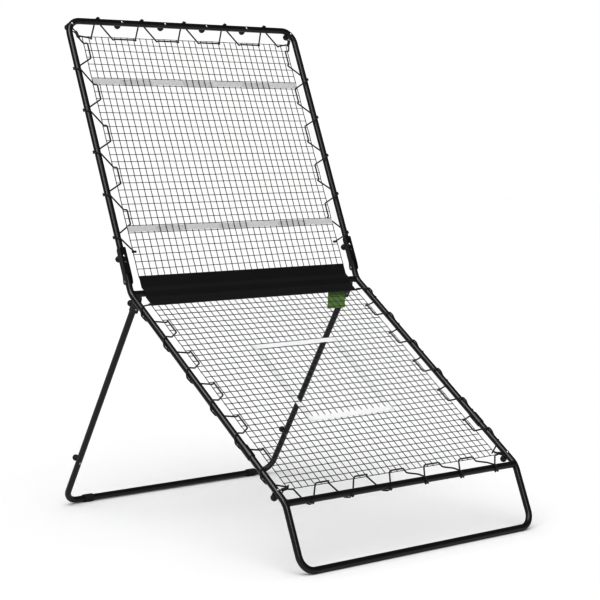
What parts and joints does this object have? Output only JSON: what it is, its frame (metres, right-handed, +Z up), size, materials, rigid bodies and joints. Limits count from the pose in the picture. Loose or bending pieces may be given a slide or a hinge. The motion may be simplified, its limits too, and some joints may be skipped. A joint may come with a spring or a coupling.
{
  "type": "pitch back rebounder",
  "caption": "Folding two-panel ball rebounder with elastic-laced nets, a strike-zone square, a rear leg and ball knobs.",
  "frame": {"origin": "on the floor, in the middle of the footprint from front foot to rear foot and from side to side", "axes": "+Z up, the front with the low panel faces -Y, +X to the right seen from the front"},
  "size_m": [1.2984, 1.6986, 2.1368],
  "materials": {
    "frame_paint": "gloss",
    "bare_steel": "satin",
    "zinc_hardware": "satin",
    "knob_plastic": "satin",
    "peg_plastic": "matte",
    "net_string": "matte",
    "white_webbing": "matte",
    "elastic_cord": "matte",
    "band_fabric": "satin",
    "tag_fabric": "matte",
    "pad_rubber": "matte"
  },
  "bodies": {
    "lower_frame": {"rail_left": "frame_paint", "rail_right": "frame_paint", "rail_collars": "frame_paint", "front_foot_frame": "frame_paint", "front_cross_tube": "frame_paint", "front_cross_pegs": "peg_plastic", "rail_pegs": "peg_plastic", "front_corner_bolts": "zinc_hardware", "hinge_cross_tube": "frame_paint", "leg_stubs": "frame_paint", "lower_net": "net_string", "target_straps": "white_webbing", "lower_lacing": "elastic_cord", "lower_corner_elastics": "elastic_cord", "fabric_band": "band_fabric", "cloth_tag": "tag_fabric"},
    "upper_frame": {"upright_left": "frame_paint", "upright_right": "frame_paint", "top_centre_tube": "frame_paint", "top_splice_sleeves": "bare_steel", "top_bolts": "zinc_hardware", "top_pegs": "peg_plastic", "upright_pegs": "peg_plastic", "upper_corner_bolts": "zinc_hardware", "hinge_channel_left": "frame_paint", "hinge_channel_right": "frame_paint", "hinge_lock_bolts": "zinc_hardware", "hinge_rivets": "zinc_hardware", "hinge_pins": "zinc_hardware", "upper_net": "net_string", "high_strap": "white_webbing", "low_strap": "white_webbing", "upper_lacing": "elastic_cord", "upper_corner_elastics": "elastic_cord"},
    "rear_leg": {"leg_tube_left": "frame_paint", "leg_tube_right": "frame_paint", "rear_foot_frame": "frame_paint", "leg_inner_sleeves": "bare_steel", "leg_channel_left": "frame_paint", "leg_channel_right": "frame_paint", "leg_pins": "zinc_hardware", "leg_lock_bolts": "zinc_hardware", "leg_foot_bolts": "zinc_hardware", "rear_foot_pads": "pad_rubber"},
    "top_knob_1_body": {"top_knob_1": "knob_plastic"},
    "top_knob_2_body": {"top_knob_2": "knob_plastic"},
    "top_knob_3_body": {"top_knob_3": "knob_plastic"},
    "top_knob_4_body": {"top_knob_4": "knob_plastic"},
    "upper_corner_knob_left_body": {"upper_corner_knob_left": "knob_plastic"},
    "hinge_knob_left_body": {"hinge_knob_left": "knob_plastic"},
    "leg_knob_left_body": {"leg_knob_left": "knob_plastic"},
    "leg_foot_knob_left_body": {"leg_foot_knob_left": "knob_plastic"},
    "front_corner_knob_left_body": {"front_corner_knob_left": "knob_plastic"},
    "upper_corner_knob_right_body": {"upper_corner_knob_right": "knob_plastic"},
    "hinge_knob_right_body": {"hinge_knob_right": "knob_plastic"},
    "leg_knob_right_body": {"leg_knob_right": "knob_plastic"},
    "leg_foot_knob_right_body": {"leg_foot_knob_right": "knob_plastic"},
    "front_corner_knob_right_body": {"front_corner_knob_right": "knob_plastic"}
  },
  "joints": [
    {"name": "upper_fold", "type": "hinge", "parent": "lower_frame", "child": "upper_frame", "pos_m": [0, 0.2713, 1.02601], "axis": [1, 0, 0], "range_deg": [0, 130]},
    {"name": "rear_leg_fold", "type": "hinge", "parent": "lower_frame", "child": "rear_leg", "pos_m": [0, 0.2637, 0.95362], "axis": [-1, 0, 0], "range_deg": [0, 75]},
    {"name": "top_knob_1_turn", "type": "hinge", "parent": "upper_frame", "child": "top_knob_1_body", "pos_m": [-0.3465, 0.72233, 2.10892], "axis": [0, -0.9275, 0.3738], "continuous": true},
    {"name": "top_knob_2_turn", "type": "hinge", "parent": "upper_frame", "child": "top_knob_2_body", "pos_m": [-0.1155, 0.72233, 2.10892], "axis": [0, -0.9275, 0.3738], "continuous": true},
    {"name": "top_knob_3_turn", "type": "hinge", "parent": "upper_frame", "child": "top_knob_3_body", "pos_m": [0.1155, 0.72233, 2.10892], "axis": [0, -0.9275, 0.3738], "continuous": true},
    {"name": "top_knob_4_turn", "type": "hinge", "parent": "upper_frame", "child": "top_knob_4_body", "pos_m": [0.3465, 0.72233, 2.10892], "axis": [0, -0.9275, 0.3738], "continuous": true},
    {"name": "upper_corner_knob_left_turn", "type": "hinge", "parent": "upper_frame", "child": "upper_corner_knob_left_body", "pos_m": [-0.60684, 0.71554, 2.09207], "axis": [0, -0.9275, 0.3738], "continuous": true},
    {"name": "hinge_knob_left_turn", "type": "hinge", "parent": "upper_frame", "child": "hinge_knob_left_body", "pos_m": [-0.625, 0.32424, 1.12112], "axis": [0, -0.9275, 0.3738], "continuous": true},
    {"name": "leg_knob_left_turn", "type": "hinge", "parent": "rear_leg", "child": "leg_knob_left_body", "pos_m": [-0.586, 0.29758, 0.92388], "axis": [0, -0.8551, -0.5185], "continuous": true},
    {"name": "leg_foot_knob_left_turn", "type": "hinge", "parent": "rear_leg", "child": "leg_foot_knob_left_body", "pos_m": [-0.586, 0.72648, 0.21653], "axis": [0, -0.8551, -0.5185], "continuous": true},
    {"name": "front_corner_knob_left_turn", "type": "hinge", "parent": "lower_frame", "child": "front_corner_knob_left_body", "pos_m": [-0.625, -0.68, 0.28253], "axis": [0, -0.5875, 0.8092], "continuous": true},
    {"name": "upper_corner_knob_right_turn", "type": "hinge", "parent": "upper_frame", "child": "upper_corner_knob_right_body", "pos_m": [0.60684, 0.71554, 2.09207], "axis": [0, -0.9275, 0.3738], "continuous": true},
    {"name": "hinge_knob_right_turn", "type": "hinge", "parent": "upper_frame", "child": "hinge_knob_right_body", "pos_m": [0.625, 0.32424, 1.12112], "axis": [0, -0.9275, 0.3738], "continuous": true},
    {"name": "leg_knob_right_turn", "type": "hinge", "parent": "rear_leg", "child": "leg_knob_right_body", "pos_m": [0.586, 0.29758, 0.92388], "axis": [0, -0.8551, -0.5185], "continuous": true},
    {"name": "leg_foot_knob_right_turn", "type": "hinge", "parent": "rear_leg", "child": "leg_foot_knob_right_body", "pos_m": [0.586, 0.72648, 0.21653], "axis": [0, -0.8551, -0.5185], "continuous": true},
    {"name": "front_corner_knob_right_turn", "type": "hinge", "parent": "lower_frame", "child": "front_corner_knob_right_body", "pos_m": [0.625, -0.68, 0.28253], "axis": [0, -0.5875, 0.8092], "continuous": true}
  ]
}
